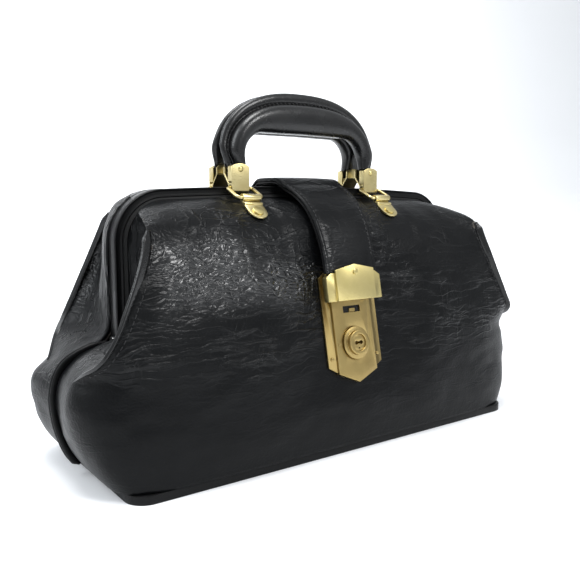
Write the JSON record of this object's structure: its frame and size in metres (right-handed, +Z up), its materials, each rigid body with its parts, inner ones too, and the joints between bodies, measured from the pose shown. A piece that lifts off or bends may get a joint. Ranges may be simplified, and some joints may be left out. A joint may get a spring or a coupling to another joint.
{
  "type": "doctor bag",
  "caption": "Small black leather doctor bag: boxy body with folded wing ends under a hinged arched frame, padded handles on brass rings, and a strap with a brass hasp and lock.",
  "frame": {"origin": "on the floor, under the middle of the base", "axes": "+X along the long side towards the bag's right end as seen from the front, -Y out of the front with the lock, +Z up"},
  "size_m": [0.3654, 0.1422, 0.2405],
  "materials": {
    "body_leather": "black shrunken-grain leather, glossy on the pebbles",
    "trim_leather": "black smooth leather, semi-gloss",
    "handle_leather": "black smooth leather, glossy",
    "strap_leather": "black grained leather, semi-gloss",
    "strap_lining": "black split leather, matt",
    "lining": "dark woven lining",
    "board": "grey-brown stiffening board",
    "core": "matt handle core",
    "steel": "plain steel",
    "lock_brass": "brushed lacquered brass",
    "fitting_brass": "satin pale brass"
  },
  "bodies": {
    "body": {"base_panel": "body_leather", "base_board": "board", "front_panel": "body_leather", "rear_panel": "body_leather", "lining": "lining", "inner_pocket": "lining", "left_end_welt": "trim_leather", "right_end_welt": "trim_leather", "left_hinge_pin": "steel", "right_hinge_pin": "steel", "lock_case": "lock_brass", "lock_housing": "steel", "window_plate": "steel", "lock_rivets": "lock_brass", "bolt_spring": "steel"},
    "lock_slide": {"lock_bolt": "steel", "cylinder_housing": "lock_brass"},
    "key_plug": {"key_plug": "lock_brass"},
    "front_frame": {"front_frame_bar": "steel", "front_frame_cover": "trim_leather", "front_shoulder": "body_leather", "front_left_chape": "fitting_brass", "front_right_chape": "fitting_brass", "front_chape_rivets": "fitting_brass"},
    "front_rings": {"front_left_ring": "fitting_brass", "front_right_ring": "fitting_brass"},
    "front_handle": {"front_grip": "handle_leather", "front_grip_core": "core", "front_left_ferrule": "fitting_brass", "front_right_ferrule": "fitting_brass", "front_ferrule_rivets": "fitting_brass"},
    "rear_frame": {"rear_frame_bar": "steel", "rear_frame_cover": "trim_leather", "rear_shoulder": "body_leather", "rear_left_chape": "fitting_brass", "rear_right_chape": "fitting_brass", "rear_chape_rivets": "fitting_brass", "strap_rear_end": "strap_leather"},
    "rear_rings": {"rear_left_ring": "fitting_brass", "rear_right_ring": "fitting_brass"},
    "rear_handle": {"rear_grip": "handle_leather", "rear_grip_core": "core", "rear_left_ferrule": "fitting_brass", "rear_right_ferrule": "fitting_brass", "rear_ferrule_rivets": "fitting_brass"},
    "strap": {"strap": "strap_leather", "strap_lining": "strap_lining", "hasp_plate": "fitting_brass", "hasp_staple": "fitting_brass", "hasp_rivet": "fitting_brass"}
  },
  "joints": [
    {"name": "front_frame_hinge", "type": "hinge", "parent": "body", "child": "front_frame", "pos_m": [0, 0, 0.079], "axis": [1, 0, 0], "range_deg": [0, 30], "deforming": ["front_shoulder"]},
    {"name": "rear_frame_hinge", "type": "hinge", "parent": "body", "child": "rear_frame", "pos_m": [0, 0, 0.079], "axis": [1, 0, 0], "range_deg": [-30, 0], "deforming": ["rear_shoulder"]},
    {"name": "strap_fold", "type": "hinge", "parent": "rear_frame", "child": "strap", "pos_m": [0, 0.012, 0.1805], "axis": [1, 0, 0], "range_deg": [-45, 0]},
    {"name": "front_ring_swing", "type": "hinge", "parent": "front_frame", "child": "front_rings", "pos_m": [0, -0.027, 0.168], "axis": [1, 0, 0], "range_deg": [0, 60]},
    {"name": "front_handle_swing", "type": "hinge", "parent": "front_rings", "child": "front_handle", "pos_m": [0, -0.013, 0.1745], "axis": [1, 0, 0], "range_deg": [0, 80]},
    {"name": "rear_ring_swing", "type": "hinge", "parent": "rear_frame", "child": "rear_rings", "pos_m": [0, 0.027, 0.168], "axis": [-1, 0, 0], "range_deg": [0, 60]},
    {"name": "rear_handle_swing", "type": "hinge", "parent": "rear_rings", "child": "rear_handle", "pos_m": [0, 0.013, 0.1745], "axis": [-1, 0, 0], "range_deg": [0, 80]},
    {"name": "lock_slide", "type": "slide", "parent": "body", "child": "lock_slide", "axis": [1, 0, 0], "range_m": [0, 0.005], "stiffness_N_per_m": 120, "deforming": ["bolt_spring"]},
    {"name": "key_turn", "type": "hinge", "parent": "lock_slide", "child": "key_plug", "pos_m": [0, -0.06547, 0.07287], "axis": [0, -0.9796, 0.2011], "range_deg": [0, 90]}
  ],
  "couplings": [
    {"joint": "rear_frame_hinge", "follows": "front_frame_hinge", "ratio": -1},
    {"joint": "strap_fold", "follows": "front_frame_hinge", "ratio": -1.5}
  ]
}
